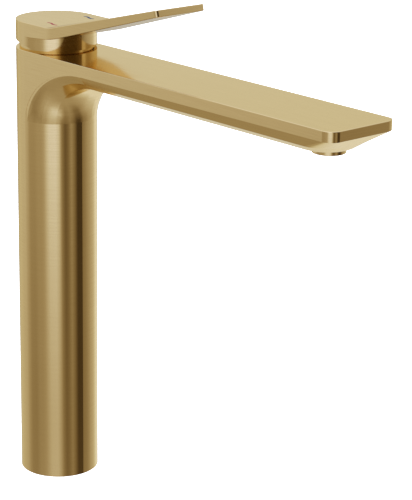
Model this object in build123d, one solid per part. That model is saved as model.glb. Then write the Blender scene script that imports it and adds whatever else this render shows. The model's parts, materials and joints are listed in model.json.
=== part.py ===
"""Tall single-lever basin mixer with a flat cantilever spout, built as separate pieces.

Millimetres. Origin at the centre of the column's foot on the deck, +X along the spout, +Z up.
"""

from build123d import *
import math
import os

# Outside shape
BODY_R = 22.5  # column radius, and half the width of the spout and of the cap
TOP_Z = 250.0  # flat top of the spout
SPOUT_END = 236.0
TIP_CORNER_R = 6.0
EDGE_R = 0.4
SIDE_H_BACK = 6.4  # height of the spout's flat side at the elbow
SIDE_H_TIP = 5.3
KNUCKLE_Y = 19.5  # lower end of the steep facet under the spout
KNUCKLE_DROP = 10.8
FLAT_Y = 14.3  # edge of the flat underside
SPOUT_DROP = 14.2
KNUCKLE_CORNER_R = 14.0
FLAT_CORNER_R = 13.0
TIP_SLOPE = math.tan(math.radians(38))
ELBOW_R = 27.0  # inside bend under the spout, on the middle plane
ELBOW_X = BODY_R + ELBOW_R
ELBOW_Z = TOP_Z - SPOUT_DROP - ELBOW_R
BEND_INSET = 0.1  # starts the bend just inside the column and the flat sides

# Foot of the column
BORE_R = 19.5
INSERT_TOP = 18.0
RING_Z = 1.25
RING_T = 1.5
GASKET_T = 1.2
STUD_R = 3.4  # M8 core
INLET_R = 4.5  # M10x1 core
RISER_X = 3.0
RISER_Y = 9.5
RISER_R = 4.0
RISER_BORE_R = 3.0
RISER_Z0 = 11.0
RISER_Z1 = 206.5
WEB_Z0 = 200.0

# Cartridge, 35 mm size
CHAMBER_Z = 214.0
CHAMBER_R = 17.7
CARTRIDGE_R = 17.5
CAVITY_R = 14.3  # room for the discs
DISC_Z = CHAMBER_Z + 5.0
CAVITY_TOP = 233.8
NUT_Z = 242.0
NUT_R = 19.0
SPINDLE_R = 10.0
RUNNING = 0.05  # radial clearance of a turning fit
INLET_AT = (4.5, 5.2)
INLET_PORT_R = 2.2
OUTLET_X = -6.0
OUTLET_PORT_R = 3.2
SEAL_W = 1.35
SEAL_T = 1.5

# Tilt of the lever
PIVOT_Z = TOP_Z + 1.0
TILT = 11.0
KNOB_DROP = 22.0  # from the pivot pin down to the knob that pushes the disc
KNOB_R = 2.0
STROKE = KNOB_DROP * math.sin(math.radians(TILT))
DISC_X = -STROKE / 2
DISC_R = 11.4
PIN_R = 1.5
STEM_W = 8.0
DOME_R = 20.5  # ball-shaped side of the trim ring, centred on the pivot

# Handle
CAP_TOP = TOP_Z + 15.6
CAP_CEILING = TOP_Z + 13.0
SKIRT_IN_R = 21.0
SKIRT_GAP = 1.1
CREASE_X = 21.9  # where the lever starts to rise from the cap
CREASE_R = 25.0
CREASE_PLAN_R = 40.0
LEVER_END = 103.7
LEVER_END_HALF = 16.2
LEVER_CORNER_R = 1.8
LEVER_RISE = 21.2
LEVER_END_T = 3.7
LEVER_UNDER_X = 30.0  # start of the straight underside
LEVER_UNDER_Z = TOP_Z + 11.3
CAP_EDGE_Z = TOP_Z + 7.6  # lower edge of the cap's side
HANDLE_EDGE_R = 0.4
BOSS_R = 8.5
BOSS_Z = TOP_Z + 8.5
SCREW_Z = TOP_Z + 10.7
SCREW_R = 2.0
PLUG_R = 2.6
HOT_MARK_AT = (13.0, -12.8)
COLD_MARK_AT = (10.8, 14.2)
MARK_W = 1.4
MARK_WAVE = 0.6
MARK_DEPTH = 0.4

# Waterway and aerator
CHANNEL_W = 12.0
CHANNEL_H = 4.2
CHANNEL_Z = TOP_Z - 8.1
CHANNEL_BEND_X = 36.0
AERATOR_X = 213.0
AERATOR_R = 8.5
AERATOR_WALL = 1.3
AERATOR_WASHER_T = 0.8
AERATOR_SEAT_Z = TOP_Z - 10.2
AERATOR_Z0 = TOP_Z - 17.2


def rod(radius, z0, z1, x=0.0, y=0.0):
    """Upright cylinder between two heights."""
    return Pos(x, y, z0) * extrude(Circle(radius), z1 - z0)


def ring(outer, inner, z0, z1, x=0.0, y=0.0):
    """Upright tube between two heights."""
    return rod(outer, z0, z1, x, y) - rod(inner, z0, z1, x, y)


def block(x0, x1, half_y, z0, z1):
    """Box centred on the middle plane."""
    return Pos((x0 + x1) / 2, 0, (z0 + z1) / 2) * Box(x1 - x0, 2 * half_y, z1 - z0)


def side_prism(points, half_y):
    """Side outline, given as (x, z), widened to both sides of the middle plane."""
    outline = Plane.XZ * make_face(Polyline(*points, close=True))
    return extrude(outline, half_y, both=True)


# Body: column, bend and spout


def ellipse_reach(theta):
    """Distance from the bend's axis to the lower edge of the flat side."""
    along_x = ELBOW_X
    along_z = TOP_Z - SIDE_H_BACK - ELBOW_Z
    return along_x * along_z / math.hypot(along_z * math.cos(theta), along_x * math.sin(theta))


def spout_share(part):
    """Rise of the spout's underside towards its side, 0 at the flat and 1 at the edge."""
    full = SPOUT_DROP - SIDE_H_BACK
    flat, knuckle = FLAT_Y / BODY_R, KNUCKLE_Y / BODY_R
    at_knuckle = (SPOUT_DROP - KNUCKLE_DROP) / full
    if part <= flat:
        return 0.0
    if part <= knuckle:
        return at_knuckle * (part - flat) / (knuckle - flat)
    return at_knuckle + (1 - at_knuckle) * (part - knuckle) / (1 - knuckle)


def bend_point(theta, part):
    """Point on the bend's underside, turning from the round column into the spout."""
    blend = math.sin(theta) ** 4
    share = abs(part)
    rise = (1 - blend) * (1 - math.sqrt(1 - share**2)) + blend * spout_share(share)
    reach = ELBOW_R + (ellipse_reach(theta) - ELBOW_R) * rise + (1 - blend) * BEND_INSET
    return bend_place(theta, part * BODY_R, reach)


def bend_place(theta, y, reach):
    """Point at a distance from the bend's axis, which runs across the spout."""
    return Vector(ELBOW_X - reach * math.cos(theta), y, ELBOW_Z + reach * math.sin(theta))


def bend_section(theta):
    """Cross-section of the bend in the plane through its axis at angle theta."""
    edge = 1 - BEND_INSET / BODY_R
    stops = [-edge, -KNUCKLE_Y / BODY_R, -FLAT_Y / BODY_R, FLAT_Y / BODY_R, KNUCKLE_Y / BODY_R, edge]
    curves = []
    for start, end in zip(stops, stops[1:]):
        steps = 8
        parts = [start + (end - start) * i / steps for i in range(steps + 1)]
        curves.append(Spline(*[bend_point(theta, part) for part in parts]))
    half = edge * BODY_R
    back = ellipse_reach(theta) + 3 * math.sin(theta)
    near, far = bend_place(theta, -half, back), bend_place(theta, half, back)
    curves.append(Line(bend_point(theta, edge), far))
    curves.append(Line(far, near))
    curves.append(Line(near, bend_point(theta, -edge)))
    return Face(Wire(curves))


def bend():
    """Underside of the elbow, lofted through sections every ten degrees."""
    sections = [bend_section(math.radians(angle)) for angle in range(0, 91, 10)]
    return loft(sections)


def side_web():
    """The flat-sided mass between the column and the spout, above its curved lower edge."""
    angles = [math.radians(5 * i) for i in range(19)]
    edge = [bend_place(a, 0, ellipse_reach(a)) for a in angles]
    curve = Spline(*edge)
    corner = Vector(0, 0, TOP_Z)
    front = Vector(ELBOW_X, 0, TOP_Z)
    outline = make_face([curve, Line(edge[-1], front), Line(front, corner), Line(corner, edge[0])])
    return extrude(outline, BODY_R, dir=(0, 1, 0), both=True)


def spout_outline(x0, end, half, corner_r):
    """Strip along the spout with two rounded corners at the tip."""
    sheet = Pos((x0 + end) / 2, 0) * Rectangle(end - x0, 2 * half)
    return fillet(sheet.vertices().group_by(Axis.X)[-1], corner_r)


def spout():
    """Flat slab with a faceted underside that closes like a bowl at the tip."""
    slope = math.atan2(SIDE_H_BACK - SIDE_H_TIP, SPOUT_END - ELBOW_X)
    tilted = Plane(
        origin=(ELBOW_X, 0, TOP_Z - SIDE_H_BACK),
        x_dir=(math.cos(slope), 0, math.sin(slope)),
        z_dir=(-math.sin(slope), 0, math.cos(slope)),
    )
    length = (SPOUT_END - ELBOW_X) / math.cos(slope)
    rim = tilted * spout_outline(0, length, BODY_R, TIP_CORNER_R)
    knuckle_end = SPOUT_END - (KNUCKLE_DROP - SIDE_H_TIP) / TIP_SLOPE
    flat_end = SPOUT_END - (SPOUT_DROP - SIDE_H_TIP) / TIP_SLOPE
    knuckle = spout_outline(ELBOW_X, knuckle_end, KNUCKLE_Y, KNUCKLE_CORNER_R)
    knuckle = Pos(0, 0, TOP_Z - KNUCKLE_DROP) * knuckle
    flat = Pos(0, 0, TOP_Z - SPOUT_DROP) * spout_outline(ELBOW_X, flat_end, FLAT_Y, FLAT_CORNER_R)
    below_top = block(0, SPOUT_END + 5, BODY_R + 5, 0, TOP_Z)
    slab = extrude(rim, 20, dir=(0, 0, 1)) & below_top
    return slab + loft([rim, knuckle], ruled=True) + loft([knuckle, flat], ruled=True)


def waterway():
    """Channel from the cartridge chamber up the bend and along the spout to the aerator."""
    section = RectangleRounded(CHANNEL_W, CHANNEL_H, 1.6)
    level = Plane(origin=(CHANNEL_BEND_X - 1, 0, CHANNEL_Z), x_dir=(0, 1, 0), z_dir=(1, 0, 0))
    straight = extrude(level * section, AERATOR_X - CHANNEL_BEND_X + 1)
    down = Plane(origin=(CHANNEL_BEND_X, 0, CHANNEL_Z), x_dir=(0, 1, 0), z_dir=(-18.3, 0, -13.9))
    sloped = extrude(down * section, 24)
    seat = rod(AERATOR_R + 0.2, AERATOR_SEAT_Z, AERATOR_Z0, AERATOR_X)
    mouth = rod(AERATOR_R + 1.0, TOP_Z - SPOUT_DROP + 0.9, TOP_Z - SPOUT_DROP - 1, AERATOR_X)
    plenum = rod(AERATOR_R - 1.5, AERATOR_SEAT_Z - 0.1, CHANNEL_Z + CHANNEL_H / 2, AERATOR_X)
    return straight + sloped + seat + mouth + plenum


def riser_socket(side, z0, z1, groove_z):
    """Blind seat for the end of a riser tube, with a groove for its seal."""
    y = side * RISER_Y
    return rod(RISER_R + 0.05, z0, z1, RISER_X, y) + rod(5.2, groove_z, groove_z + 1.7, RISER_X, y)


def body():
    """One casting: column, elbow and spout, bored for the cartridge, foot and waterway."""
    shape = rod(BODY_R, 0, TOP_Z) + [side_web(), bend(), spout()]
    shape = fillet(shape.faces().sort_by(Axis.Z)[-1].outer_wire().edges(), EDGE_R)
    shape -= rod(CHAMBER_R, CHAMBER_Z, TOP_Z)
    shape -= rod(NUT_R, NUT_Z, TOP_Z)
    shape -= rod(BORE_R, 0, WEB_Z0)
    shape -= rod(BORE_R + 0.9, 0, RING_Z)
    shape -= rod(BORE_R + 1.7, RING_Z, RING_Z + RING_T)
    shape -= waterway()
    for side in (-1, 1):
        shape -= rod(INLET_PORT_R, RISER_Z1 + 0.5, CHAMBER_Z, INLET_AT[0], side * INLET_AT[1])
        shape -= riser_socket(side, WEB_Z0, RISER_Z1 + 2, WEB_Z0 + 2.5)
    return shape


# Foot


def base_insert():
    """Brass block in the foot with the stud thread and the two hose threads."""
    shape = rod(BORE_R - 0.1, RING_Z + RING_T, INSERT_TOP) + rod(17.2, 0, RING_Z + RING_T)
    shape -= rod(STUD_R, 0, INSERT_TOP)
    for side in (-1, 1):
        shape -= rod(INLET_R, 0, 10, RISER_X, side * RISER_Y)
        shape -= rod(RISER_BORE_R, 10, RISER_Z0, RISER_X, side * RISER_Y)
        shape -= riser_socket(side, RISER_Z0, INSERT_TOP, INSERT_TOP - 4.2)
    return shape


def retaining_ring():
    """Split ring that holds the foot insert in the column."""
    ring_shape = ring(BORE_R + 1.6, 17.4, RING_Z, RING_Z + RING_T)
    return ring_shape - block(-30, -16, 2.5, 0, 5)


def riser(side):
    """Copper tube from the foot insert up to the cartridge chamber."""
    return ring(RISER_R, RISER_BORE_R, RISER_Z0, RISER_Z1, RISER_X, side * RISER_Y)


def riser_seals():
    heights = (INSERT_TOP - 3.35, WEB_Z0 + 3.35)
    return [Pos(RISER_X, side * RISER_Y, z) * Torus(4.6, 0.6) for side in (-1, 1) for z in heights]


# Cartridge


def cartridge_ports(z0, z1, radius_gain=0.0):
    """The two inlet ports and the outlet port, which every fixed layer shares."""
    ports = [rod(INLET_PORT_R + radius_gain, z0, z1, INLET_AT[0], side * INLET_AT[1]) for side in (-1, 1)]
    ports.append(rod(OUTLET_PORT_R + radius_gain, z0, z1, OUTLET_X))
    return ports


def cartridge_base():
    shape = rod(CARTRIDGE_R, CHAMBER_Z, DISC_Z) - cartridge_ports(CHAMBER_Z, DISC_Z)
    shape -= cartridge_ports(CHAMBER_Z, CHAMBER_Z + SEAL_T, SEAL_W + RUNNING)[:2]
    shape -= cartridge_ports(DISC_Z - SEAL_T, DISC_Z, SEAL_W + RUNNING)
    shape -= block(-20, OUTLET_X, 5, CHAMBER_Z, CHAMBER_Z + 2)
    return shape - block(-20, -15, 5, CHAMBER_Z, DISC_Z)


def port_seal(port_r, z0, x, y=0.0):
    """Flat rubber ring let into the recess round a port."""
    return ring(port_r + SEAL_W, port_r, z0, z0 + SEAL_T, x, y)


def inlet_seals(z0=CHAMBER_Z):
    x, y = INLET_AT
    return [port_seal(INLET_PORT_R, z0, x, side * y) for side in (-1, 1)]


def disc_seals():
    z0 = DISC_Z - SEAL_T
    return [*inlet_seals(z0), port_seal(OUTLET_PORT_R, z0, OUTLET_X)]


def fixed_disc():
    top = DISC_Z + 3.98
    return rod(CAVITY_R - 0.1, DISC_Z, top) - cartridge_ports(DISC_Z, top)


def cartridge_housing():
    """Shell round the discs, waisted so that mixed water can rise outside it."""
    shape = rod(CARTRIDGE_R, DISC_Z, NUT_Z) + rod(12.6, NUT_Z, TOP_Z + 3)
    shape -= ring(CARTRIDGE_R + 1, 15.8, DISC_Z + 3, CAVITY_TOP)
    shape -= block(-20, -15, 5, DISC_Z, DISC_Z + 3)
    shape -= ring(CARTRIDGE_R + 1, 15.5, 237, 239.4)
    shape -= rod(CAVITY_R, DISC_Z, CAVITY_TOP)
    return shape - rod(SPINDLE_R + RUNNING, CAVITY_TOP, TOP_Z + 3)


def cartridge_nut():
    hexagon = extrude(RegularPolygon(13.5, 6, major_radius=False), 4)
    shape = rod(NUT_R - 0.05, NUT_Z, TOP_Z) + Pos(0, 0, TOP_Z) * hexagon
    return shape - rod(12.75, NUT_Z, TOP_Z + 4)


def trim_dome():
    """Ball-sided ring that fills the skirt of the handle and hides the nut."""
    ball = Pos(0, 0, PIVOT_Z) * Sphere(DOME_R)
    shape = ball & rod(DOME_R + 1, TOP_Z, TOP_Z + 6.5)
    shape -= rod(16.4, TOP_Z, TOP_Z + 4.6)
    return shape - rod(13.6, TOP_Z + 4.6, TOP_Z + 6.5)


def spindle_carrier():
    """Turning core of the cartridge: holds the pin and steers the disc carrier."""
    shape = rod(13.9, 230.4, CAVITY_TOP - 0.1) + rod(SPINDLE_R, CAVITY_TOP - 0.1, PIVOT_Z + 4.5)
    shape -= block(-5.5, 6.2, STEM_W / 2 + 0.15, 230, PIVOT_Z + 5)
    for side in (-1, 1):
        rail = Pos(0, side * 10.0, 228.4) * Box(14, 1.8, 4.2)
        shape += rail
    return shape - Pos(0, 0, PIVOT_Z) * Rot(90, 0, 0) * Cylinder(PIN_R, 19)


def stem_pin():
    return Pos(0, 0, PIVOT_Z) * Rot(90, 0, 0) * Cylinder(PIN_R, 19)


def moving_disc():
    """Upper ceramic disc with the blind mixing hollow in its lower face."""
    z0 = DISC_Z + 4
    pocket = Pos(-3.85, 0, z0) * extrude(RectangleRounded(11.7, 8.4, 2.5), 1.6)
    return rod(DISC_R, z0, z0 + 3, DISC_X) - pocket


def disc_carrier():
    z0 = DISC_Z + 7
    shape = rod(DISC_R, z0, z0 + 4, DISC_X) & block(-20, 20, 9.0, z0, z0 + 4)
    return shape - block(-KNOB_R - 0.08, KNOB_R + 0.08, STEM_W / 2 + 0.15, z0 + 0.8, z0 + 4)


def stem():
    """Square lever spindle, thinned below the pivot and ending in a round knob."""
    half = STEM_W / 2
    shape = block(-half, half, half, PIVOT_Z, TOP_Z + 12.8)
    hub = Pos(0, 0, PIVOT_Z) * Rot(90, 0, 0) * Cylinder(half, STEM_W)
    knob = Pos(0, 0, PIVOT_Z - KNOB_DROP) * Rot(90, 0, 0) * Cylinder(KNOB_R, STEM_W)
    shape += hub + knob + block(-1.5, 1.5, half, PIVOT_Z - KNOB_DROP, PIVOT_Z)
    return shape - Pos(0, 0, PIVOT_Z) * Rot(90, 0, 0) * Cylinder(PIN_R + RUNNING, STEM_W + 2)


# Handle


def cap_plan(height):
    """Seen from above: round behind, straight beside the cap, tapering past the lever's end."""
    points = [(0, BODY_R), (CREASE_X, BODY_R), (LEVER_END + 3, LEVER_END_HALF)]
    near = [(x, -y) for x, y in reversed(points)]
    sheet = make_face(Polyline(*points, *near, close=True))
    sheet = fillet(sheet.vertices().filter_by_position(Axis.X, CREASE_X - 1, CREASE_X + 1), CREASE_PLAN_R)
    return extrude(sheet + Circle(BODY_R), height)


def cap_side():
    """Side view of the cap plate and the lever that rises from it, with its end square to its slope."""
    past_back = -BODY_R - 5
    tilt = math.atan2(LEVER_RISE, LEVER_END - CREASE_X)
    end_top = (LEVER_END, CAP_TOP + LEVER_RISE)
    end_low = (LEVER_END + LEVER_END_T * math.sin(tilt), end_top[1] - LEVER_END_T * math.cos(tilt))
    under_slope = (end_low[1] - LEVER_UNDER_Z) / (end_low[0] - LEVER_UNDER_X)
    lip = (2, CAP_EDGE_Z)
    under = Spline(
        lip,
        (10, CAP_EDGE_Z + 0.5),
        (17, CAP_EDGE_Z + 1.2),
        (24, CAP_EDGE_Z + 2.2),
        (LEVER_UNDER_X, LEVER_UNDER_Z),
        tangents=[(1, 0.04), (1, under_slope)],
    )
    rest = FilletPolyline(
        (LEVER_UNDER_X, LEVER_UNDER_Z),
        end_low,
        end_top,
        (CREASE_X, CAP_TOP),
        (past_back, CAP_TOP),
        (past_back, CAP_EDGE_Z),
        lip,
        radius=[0, 0, CREASE_R, 0, 0],
    )
    outline = Plane.XZ * make_face([under, *rest.edges()])
    return extrude(outline, BODY_R + 2, both=True)


def skirt():
    """Round neck under the cap, cut higher behind so that it clears the spout when tilted."""
    low = TOP_Z + SKIRT_GAP
    relief = Spline((9, low), (0, low + 1.75), (-8, low + 3.0), (-24, low + 3.8))
    rest = Polyline((-24, low + 3.8), (-24, low - 2), (9, low - 2), (9, low))
    cut = extrude(Plane.XZ * make_face([relief, *rest.edges()]), BODY_R + 2, both=True)
    return rod(BODY_R, low, CAP_CEILING) - cut


def mark_stroke(x, y):
    """Short wavy stroke inlaid in the cap."""
    line = Spline((-4.5, 0), (-1.5, MARK_WAVE), (1.5, -MARK_WAVE), (4.5, 0))
    return Pos(x, y, CAP_TOP - MARK_DEPTH) * extrude(trace(line, MARK_W), MARK_DEPTH)


def handle():
    """Cap, lever and skirt in one casting, with a boss inside for the stem."""
    plate = Pos(0, 0, TOP_Z) * cap_plan(45) & cap_side()
    end_face = plate.faces().sort_by(Axis.X)[-1]
    plate = fillet(end_face.edges().filter_by(Axis.Y, reverse=True), LEVER_CORNER_R)
    shape = fillet(plate.edges(), HANDLE_EDGE_R) + skirt()
    shape -= rod(SKIRT_IN_R, TOP_Z, CAP_CEILING)
    shape += rod(BOSS_R, BOSS_Z, CAP_CEILING + 0.5)
    shape -= block(-5.2, 5.2, 5.2, BOSS_Z, CAP_CEILING - 0.1)
    shape -= Pos(-15, 0, SCREW_Z) * Rot(0, 90, 0) * Cylinder(SCREW_R, 30)
    shape -= Pos(-22, 0, SCREW_Z) * Rot(0, 90, 0) * Cylinder(PLUG_R, 3)
    return shape - mark_stroke(*HOT_MARK_AT) - mark_stroke(*COLD_MARK_AT)


def stem_bush():
    shape = block(-5.15, 5.15, 5.15, BOSS_Z, CAP_CEILING - 0.1)
    shape -= block(-STEM_W / 2, STEM_W / 2, STEM_W / 2, BOSS_Z - 1, CAP_CEILING - 0.1)
    return shape - Pos(-5, 0, SCREW_Z) * Rot(0, 90, 0) * Cylinder(SCREW_R, 5)


def set_screw():
    shape = Pos(-7.0, 0, SCREW_Z) * Rot(0, 90, 0) * Cylinder(SCREW_R, 6)
    key = Pos(-10, 0, SCREW_Z) * Rot(0, 90, 0) * extrude(RegularPolygon(1.0, 6, major_radius=False), 2.5)
    return shape - key


def set_screw_plug():
    head = Pos(-21.4, 0, SCREW_Z) * Rot(0, 90, 0) * Cylinder(PLUG_R, 1.8)
    return head & rod(BODY_R, TOP_Z, CAP_TOP)


# Aerator


def aerator_housing():
    """Threaded shell that screws up into the spout."""
    top = AERATOR_SEAT_Z - AERATOR_WASHER_T
    shell = ring(AERATOR_R, AERATOR_R - AERATOR_WALL, AERATOR_Z0, top, AERATOR_X)
    return fillet(shell.edges().group_by(Axis.Z)[0], EDGE_R)


def aerator_insert():
    """Honeycomb that straightens the stream."""
    shape = rod(AERATOR_R - AERATOR_WALL, AERATOR_Z0 + 0.8, AERATOR_SEAT_Z - 1.6)
    for radius, count in ((0, 1), (2.3, 6), (4.7, 12)):
        for i in range(count):
            turn = 2 * math.pi * i / count
            shape -= rod(0.85, AERATOR_Z0, AERATOR_SEAT_Z, radius * math.cos(turn), radius * math.sin(turn))
    return Pos(AERATOR_X, 0, 0) * shape


def aerator_washer():
    """Rubber washer between the aerator and the top of its seat."""
    low = AERATOR_SEAT_Z - AERATOR_WASHER_T
    return ring(AERATOR_R, AERATOR_R - 1.8, low, AERATOR_SEAT_Z, AERATOR_X)


PIECES = {
    "body": body,
    "base_insert": base_insert,
    "insert_retaining_ring": retaining_ring,
    "base_gasket": lambda: ring(BORE_R + 0.8, 17.4, 0, GASKET_T),
    "hot_riser": lambda: riser(-1),
    "cold_riser": lambda: riser(1),
    "riser_seals": riser_seals,
    "cartridge_base": cartridge_base,
    "inlet_seals": inlet_seals,
    "disc_seals": disc_seals,
    "fixed_ceramic_disc": fixed_disc,
    "moving_ceramic_disc": moving_disc,
    "disc_carrier": disc_carrier,
    "cartridge_housing": cartridge_housing,
    "housing_o_ring": lambda: Pos(0, 0, 238.2) * Torus(16.6, 1.1),
    "cartridge_nut": cartridge_nut,
    "trim_dome": trim_dome,
    "dome_o_ring": lambda: Pos(0, 0, TOP_Z + 2) * Torus(16.0, 0.4),
    "spindle_carrier": spindle_carrier,
    "stem_pin": stem_pin,
    "stem": stem,
    "stem_bush": stem_bush,
    "handle": handle,
    "hot_mark": lambda: mark_stroke(*HOT_MARK_AT),
    "cold_mark": lambda: mark_stroke(*COLD_MARK_AT),
    "set_screw": set_screw,
    "set_screw_plug": set_screw_plug,
    "aerator_housing": aerator_housing,
    "aerator_insert": aerator_insert,
    "aerator_washer": aerator_washer,
}

os.makedirs("parts", exist_ok=True)
for name, make in PIECES.items():
    piece = make()
    solids = piece if isinstance(piece, list) else piece.solids()
    export_step(Compound(children=list(solids)), f"parts/{name}.step")
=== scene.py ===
"""Looks for the tall basin mixer: satin gold metal, its inner parts and a plain studio."""

import json
import math

import bpy
from mathutils import Matrix

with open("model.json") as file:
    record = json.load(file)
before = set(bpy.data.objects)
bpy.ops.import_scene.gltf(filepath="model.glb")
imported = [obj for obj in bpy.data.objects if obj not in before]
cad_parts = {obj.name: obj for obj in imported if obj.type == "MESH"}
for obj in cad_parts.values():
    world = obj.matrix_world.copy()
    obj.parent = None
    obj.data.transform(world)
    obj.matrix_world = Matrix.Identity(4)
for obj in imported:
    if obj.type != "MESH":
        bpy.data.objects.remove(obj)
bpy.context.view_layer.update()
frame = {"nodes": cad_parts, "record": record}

# Camera: place in metres, angles in degrees
CAMERA_AT = (0.8411, -0.6445, 0.4661)
CAMERA_YAW = 47.96
CAMERA_PITCH = 17.52
CAMERA_ROLL = 0.93
CAMERA_LENS = 139.4
SENSOR = 36.0

# Studio. Each row is a compass angle in degrees from +X, and the room's brightness there at each of the
# heights in ROOM_HEIGHTS. Dark screens stand at -15 and 28 at the middle height.
ROOM_HEIGHTS = (-0.68, -0.38, -0.20, 0.06, 0.18)  # sines of the height angle
ROOM = [
    (-180, 0.41, 0.68, 0.71, 0.80, 0.80),
    (-160, 0.41, 0.62, 0.66, 0.78, 0.78),
    (-145, 0.42, 0.55, 0.67, 0.72, 0.72),
    (-134, 0.42, 0.43, 0.60, 0.66, 0.66),
    (-124, 0.42, 0.34, 0.45, 0.55, 0.60),
    (-108, 0.48, 0.32, 0.45, 0.50, 0.60),
    (-96, 0.55, 0.38, 0.48, 0.50, 0.60),
    (-86, 0.58, 0.39, 0.485, 0.52, 0.65),
    (-77, 0.62, 0.43, 0.55, 0.60, 0.80),
    (-68, 0.72, 0.52, 0.82, 0.85, 0.95),
    (-60, 0.80, 0.60, 0.94, 0.95, 1.00),
    (-42, 0.82, 0.61, 0.96, 0.90, 0.90),
    (-33, 0.75, 0.49, 0.83, 0.60, 0.50),
    (-24, 0.50, 0.29, 0.35, 0.20, 0.12),
    (-15, 0.35, 0.20, 0.14, 0.10, 0.08),
    (-7, 0.35, 0.24, 0.22, 0.12, 0.07),
    (3, 0.40, 0.34, 0.43, 0.14, 0.07),
    (12, 0.35, 0.23, 0.28, 0.18, 0.07),
    (22, 0.25, 0.07, 0.055, 0.30, 0.08),
    (34, 0.25, 0.08, 0.07, 0.56, 0.16),
    (46, 0.40, 0.29, 0.34, 0.58, 0.75),
    (58, 0.50, 0.36, 0.47, 0.55, 0.40),
    (69, 0.60, 0.49, 0.53, 0.60, 0.45),
    (86, 0.72, 0.63, 0.67, 0.70, 0.66),
    (106, 0.92, 0.96, 1.03, 0.78, 0.76),
    (125, 0.92, 0.92, 0.74, 0.75, 0.75),
    (145, 0.80, 0.80, 0.30, 0.55, 0.79),
    (165, 0.50, 0.70, 0.60, 0.76, 0.80),
]
UNDERNEATH = 0.45
UNDERNEATH_FROM = (-0.76, -0.97)
CEILING = 1.0
CEILING_FROM = (0.45, 0.75)
BRIGHTEST = 1.1
RAMP_SCALE = 2.0  # keeps the colours of a ramp under 1
TINT_LEVELS = (0.0, 0.1, 0.2, 0.3, 0.45, 0.6, 0.75, 0.9, BRIGHTEST)
OVERHEAD_AT = (0.1, 0, 2.4)
OVERHEAD_SIZE = 3.0
OVERHEAD_POWER = 60.0
FLOOR_HALF = 6.0
FLOOR_GLOW = 0.85
FLOOR_Z = -0.0002  # just under the foot

# Grain, in marks per metre along each axis
ROUND_GRAIN = (50, 50, 1300)
LONG_GRAIN = (50, 1300, 50)
METAL_CLOUDS = (22, 22, 22)
MOULDED_CLOUDS = (60, 60, 60)
PAPER_GRAIN = (900, 900, 900)

# Colours
PAPER_DARK = (0.90, 0.90, 0.90)
PAPER_LIGHT = (0.94, 0.94, 0.94)
GOLD = (0.79, 0.58, 0.275)
GOLD_DEEP = (0.76, 0.55, 0.255)
GOLD_AT_EDGE = (0.92, 0.83, 0.60, 1)
WHITE = (1, 1, 1, 1)

# Places of a colour mix node's sockets, whose names are shared by its other kinds
COLOUR_A, COLOUR_B, COLOUR_RESULT = 6, 7, 2


# Shader pieces


def link(tree, source, target):
    """Joins two sockets."""
    tree.links.new(source, target)


def set_or_link(tree, socket, value):
    if isinstance(value, bpy.types.NodeSocket):
        link(tree, value, socket)
    else:
        socket.default_value = value


def math_node(tree, operation, *values):
    made = tree.nodes.new("ShaderNodeMath")
    made.operation = operation
    for socket, value in zip(made.inputs, values):
        set_or_link(tree, socket, value)
    return made.outputs["Value"]


def spread(tree, value, low, high, from_low=0.0, from_high=1.0):
    """Moves a value from one range to another, and holds it at the ends."""
    made = tree.nodes.new("ShaderNodeMapRange")
    for name, number in zip(("From Min", "From Max", "To Min", "To Max"), (from_low, from_high, low, high)):
        made.inputs[name].default_value = number
    link(tree, value, made.inputs["Value"])
    return made.outputs["Result"]


def mixed(tree, share, first, second):
    """Goes from the first value to the second as the share goes from 0 to 1."""
    made = tree.nodes.new("ShaderNodeMix")
    for name, value in (("Factor", share), ("A", first), ("B", second)):
        set_or_link(tree, made.inputs[name], value)
    return made.outputs["Result"]


def ramp(tree, value, stops):
    """Colour ramp through (position, colour) stops, with positions from 0 to 1."""
    made = tree.nodes.new("ShaderNodeValToRGB")
    elements = made.color_ramp.elements
    while len(elements) < len(stops):
        elements.new(0.5)
    for element, (position, colour) in zip(elements, stops):
        element.position = position
        element.color = (*colour, 1)
    link(tree, value, made.inputs["Fac"])
    return made.outputs["Color"]


def noise(tree, scale, detail=3.0, roughness=0.6):
    """Noise in the object's own space. scale gives its grain along each axis."""
    place = tree.nodes.new("ShaderNodeTexCoord")
    mapping = tree.nodes.new("ShaderNodeMapping")
    mapping.inputs["Scale"].default_value = scale
    link(tree, place.outputs["Object"], mapping.inputs["Vector"])
    made = tree.nodes.new("ShaderNodeTexNoise")
    made.inputs["Scale"].default_value = 1.0
    made.inputs["Detail"].default_value = detail
    made.inputs["Roughness"].default_value = roughness
    link(tree, mapping.outputs["Vector"], made.inputs["Vector"])
    return made.outputs["Fac"]


def add_bump(tree, shader, height, distance):
    """Relief from a height map. distance is its depth in metres."""
    made = tree.nodes.new("ShaderNodeBump")
    made.inputs["Strength"].default_value = 1.0
    made.inputs["Distance"].default_value = distance
    link(tree, height, made.inputs["Height"])
    link(tree, made.outputs["Normal"], shader.inputs["Normal"])


def new_material(name):
    made = bpy.data.materials.new(name)
    made.use_nodes = True
    return made, made.node_tree, made.node_tree.nodes["Principled BSDF"]


def brush_lines(tree):
    """Fine lines that run level round the walls and lengthwise along the level faces."""
    walls = noise(tree, ROUND_GRAIN)
    tops = noise(tree, LONG_GRAIN)
    normal = tree.nodes.new("ShaderNodeTexCoord").outputs["Normal"]
    parts = tree.nodes.new("ShaderNodeSeparateXYZ")
    link(tree, normal, parts.inputs[0])
    facing_up = math_node(tree, "ABSOLUTE", parts.outputs["Z"])
    return mixed(tree, spread(tree, facing_up, 0, 1, 0.6, 0.8), walls, tops)


# Materials


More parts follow.
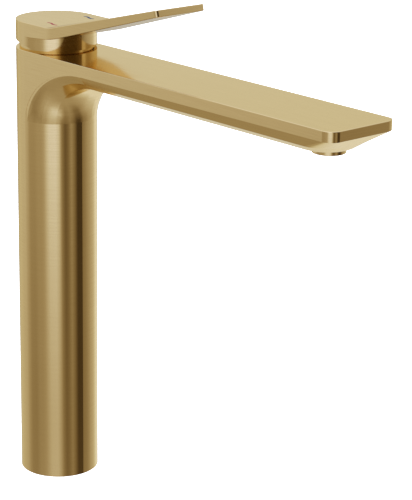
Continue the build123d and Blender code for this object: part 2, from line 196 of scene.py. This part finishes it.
def brushed_metal(name, light, deep, roughness, groove=0.000006, at_edge=WHITE):
    """Brushed metal. groove is the depth of its lines in metres, and at_edge its tint seen edge on."""
    made, tree, shader = new_material(name)
    lines = brush_lines(tree)
    clouds = noise(tree, METAL_CLOUDS, 2.0, 0.5)
    shader.inputs["Metallic"].default_value = 1.0
    shader.inputs["Specular Tint"].default_value = at_edge
    link(tree, ramp(tree, lines, [(0.3, deep), (0.7, light)]), shader.inputs["Base Color"])
    from_lines = spread(tree, lines, roughness + 0.03, roughness - 0.03, 0.3, 0.7)
    from_clouds = spread(tree, clouds, -0.015, 0.015, 0.3, 0.7)
    link(tree, math_node(tree, "ADD", from_lines, from_clouds), shader.inputs["Roughness"])
    add_bump(tree, shader, lines, groove)
    return made


def moulded(name, light, dark, roughness, grain, depth, gloss):
    """Plastic, rubber, ceramic or enamel. Its grain is in specks per metre, and depth is in metres."""
    made, tree, shader = new_material(name)
    speckle = noise(tree, (grain, grain, grain))
    clouds = noise(tree, MOULDED_CLOUDS, 2.0, 0.5)
    shader.inputs["Specular IOR Level"].default_value = gloss
    both = math_node(tree, "MULTIPLY_ADD", speckle, 0.5, math_node(tree, "MULTIPLY", clouds, 0.5))
    link(tree, ramp(tree, both, [(0.35, dark), (0.65, light)]), shader.inputs["Base Color"])
    polish = spread(tree, speckle, roughness - 0.05, roughness + 0.05, 0.3, 0.7)
    link(tree, polish, shader.inputs["Roughness"])
    add_bump(tree, shader, speckle, depth)
    return made


METALS = {
    # slot: material name, light colour, deep colour, roughness, depth of the lines
    "turned_brass": ("turned_brass", (0.70, 0.55, 0.27), (0.62, 0.47, 0.21), 0.24, 0.00001),
    "copper_tube": ("drawn_copper", (0.75, 0.42, 0.28), (0.66, 0.35, 0.22), 0.28, 0.000006),
    "spring_steel": ("spring_steel", (0.48, 0.48, 0.50), (0.36, 0.36, 0.38), 0.35, 0.000006),
    "stainless": ("stainless", (0.60, 0.61, 0.62), (0.52, 0.53, 0.55), 0.25, 0.00001),
}
MOULDED = {
    # slot: light colour, dark colour, roughness, grain, depth, gloss
    "seal_rubber": ((0.035, 0.035, 0.036), (0.02, 0.02, 0.021), 0.6, 3000, 0.00002, 0.5),
    "cartridge_plastic": ((0.62, 0.63, 0.65), (0.55, 0.56, 0.58), 0.42, 2500, 0.00001, 0.5),
    "carrier_plastic": ((0.07, 0.075, 0.085), (0.05, 0.055, 0.06), 0.45, 2500, 0.00001, 0.5),
    "disc_ceramic": ((0.86, 0.86, 0.84), (0.80, 0.80, 0.77), 0.15, 4000, 0.000002, 0.5),
    "aerator_plastic": ((0.09, 0.092, 0.10), (0.06, 0.062, 0.07), 0.4, 2500, 0.00001, 0.5),
    "hot_enamel": ((0.24, 0.02, 0.018), (0.18, 0.014, 0.012), 0.5, 3000, 0.000004, 0.1),
    "cold_enamel": ((0.006, 0.022, 0.07), (0.004, 0.016, 0.05), 0.5, 3000, 0.000004, 0.1),
}


def slot_materials():
    """Makes the material of every slot in the record."""
    made = {"brushed_gold": brushed_metal("satin_gold", GOLD, GOLD_DEEP, 0.11, at_edge=GOLD_AT_EDGE)}
    for slot, values in METALS.items():
        made[slot] = brushed_metal(*values)
    for slot, values in MOULDED.items():
        made[slot] = moulded(slot, *values)
    return made


def dress_parts():
    """Gives every CAD node the material of its slot in the record."""
    materials = slot_materials()
    for part in frame["record"]["subparts"]:
        mesh = frame["nodes"][part["node"]].data
        mesh.materials.clear()
        mesh.materials.append(materials[part["material_slot"]])


# Studio


def tinted(level):
    """Light of one brightness: cool white in the soft boxes, and warmer the dimmer it is."""
    green = min(1.15, 0.66 + 0.58 * level)
    blue = min(1.6, 0.33 + 0.4 * level + 1.1 * level**2)
    return (level, level * green, level * blue)


def room_ring(tree, turn, column):
    """Brightness all round at one height. column picks it from ROOM."""
    stops = [((row[0] + 180) / 360, (row[column] / RAMP_SCALE,) * 3) for row in ROOM]
    return math_node(tree, "MULTIPLY", ramp(tree, turn, stops), RAMP_SCALE)


def room_level(tree, direction):
    """Brightness of the room in a direction."""
    parts = tree.nodes.new("ShaderNodeSeparateXYZ")
    link(tree, direction, parts.inputs[0])
    compass = math_node(tree, "ARCTAN2", parts.outputs["Y"], parts.outputs["X"])
    turn = spread(tree, compass, 0, 1, -math.pi, math.pi)
    height = parts.outputs["Z"]
    level = room_ring(tree, turn, 1)
    for column, span in enumerate(zip(ROOM_HEIGHTS, ROOM_HEIGHTS[1:]), start=2):
        level = mixed(tree, spread(tree, height, 0, 1, *span), level, room_ring(tree, turn, column))
    level = mixed(tree, spread(tree, height, 0, 1, *UNDERNEATH_FROM), level, UNDERNEATH)
    return mixed(tree, spread(tree, height, 0, 1, *CEILING_FROM), level, CEILING)


def room():
    """Soft boxes all round, as the metal sees them, before a white backdrop."""
    world = bpy.data.worlds.new("studio")
    bpy.context.scene.world = world
    world.use_nodes = True
    tree = world.node_tree
    level = room_level(tree, tree.nodes.new("ShaderNodeTexCoord").outputs["Generated"])
    stops = [(value / BRIGHTEST, tinted(value)) for value in TINT_LEVELS]
    light = ramp(tree, spread(tree, level, 0, 1, 0, BRIGHTEST), stops)
    seen = tree.nodes.new("ShaderNodeLightPath").outputs["Is Camera Ray"]
    mix = tree.nodes.new("ShaderNodeMix")
    mix.data_type = "RGBA"
    link(tree, seen, mix.inputs["Factor"])
    link(tree, light, mix.inputs[COLOUR_A])
    mix.inputs[COLOUR_B].default_value = WHITE
    link(tree, mix.outputs[COLOUR_RESULT], tree.nodes["Background"].inputs["Color"])


def overhead_light():
    """A large soft light above, which lights the pale floor."""
    data = bpy.data.lights.new("overhead", "AREA")
    data.size = OVERHEAD_SIZE
    data.energy = OVERHEAD_POWER
    made = bpy.data.objects.new("overhead", data)
    made.location = OVERHEAD_AT
    made.visible_glossy = False
    bpy.context.scene.collection.objects.link(made)


def floor():
    """Plain pale floor, hidden from reflections."""
    mesh = bpy.data.meshes.new("floor")
    corners = [(x * FLOOR_HALF, y * FLOOR_HALF, FLOOR_Z) for x, y in ((-1, -1), (1, -1), (1, 1), (-1, 1))]
    mesh.from_pydata(corners, [], [(0, 1, 2, 3)])
    made = bpy.data.objects.new("floor", mesh)
    bpy.context.scene.collection.objects.link(made)
    paper, tree, shader = new_material("paper")
    grain = noise(tree, PAPER_GRAIN, 2.0, 0.5)
    link(tree, ramp(tree, grain, [(0.3, PAPER_DARK), (0.7, PAPER_LIGHT)]), shader.inputs["Base Color"])
    shader.inputs["Roughness"].default_value = 0.9
    shader.inputs["Emission Color"].default_value = WHITE
    shader.inputs["Emission Strength"].default_value = FLOOR_GLOW
    mesh.materials.append(paper)
    made.visible_glossy = False


def camera():
    """Camera at the viewing angle of the picture."""
    data = bpy.data.cameras.new("camera")
    data.sensor_width = SENSOR
    data.lens = CAMERA_LENS
    made = bpy.data.objects.new("camera", data)
    yaw, pitch, roll = (math.radians(a) for a in (CAMERA_YAW, CAMERA_PITCH, CAMERA_ROLL))
    turn = Matrix.Rotation(yaw, 4, "Z")
    turn @= Matrix.Rotation(math.pi / 2 - pitch, 4, "X")
    turn @= Matrix.Rotation(roll, 4, "Z")
    made.matrix_world = Matrix.Translation(CAMERA_AT) @ turn
    bpy.context.scene.collection.objects.link(made)
    bpy.context.scene.camera = made


camera()
dress_parts()
floor()
room()
overhead_light()
bpy.context.scene.view_settings.view_transform = "Standard"
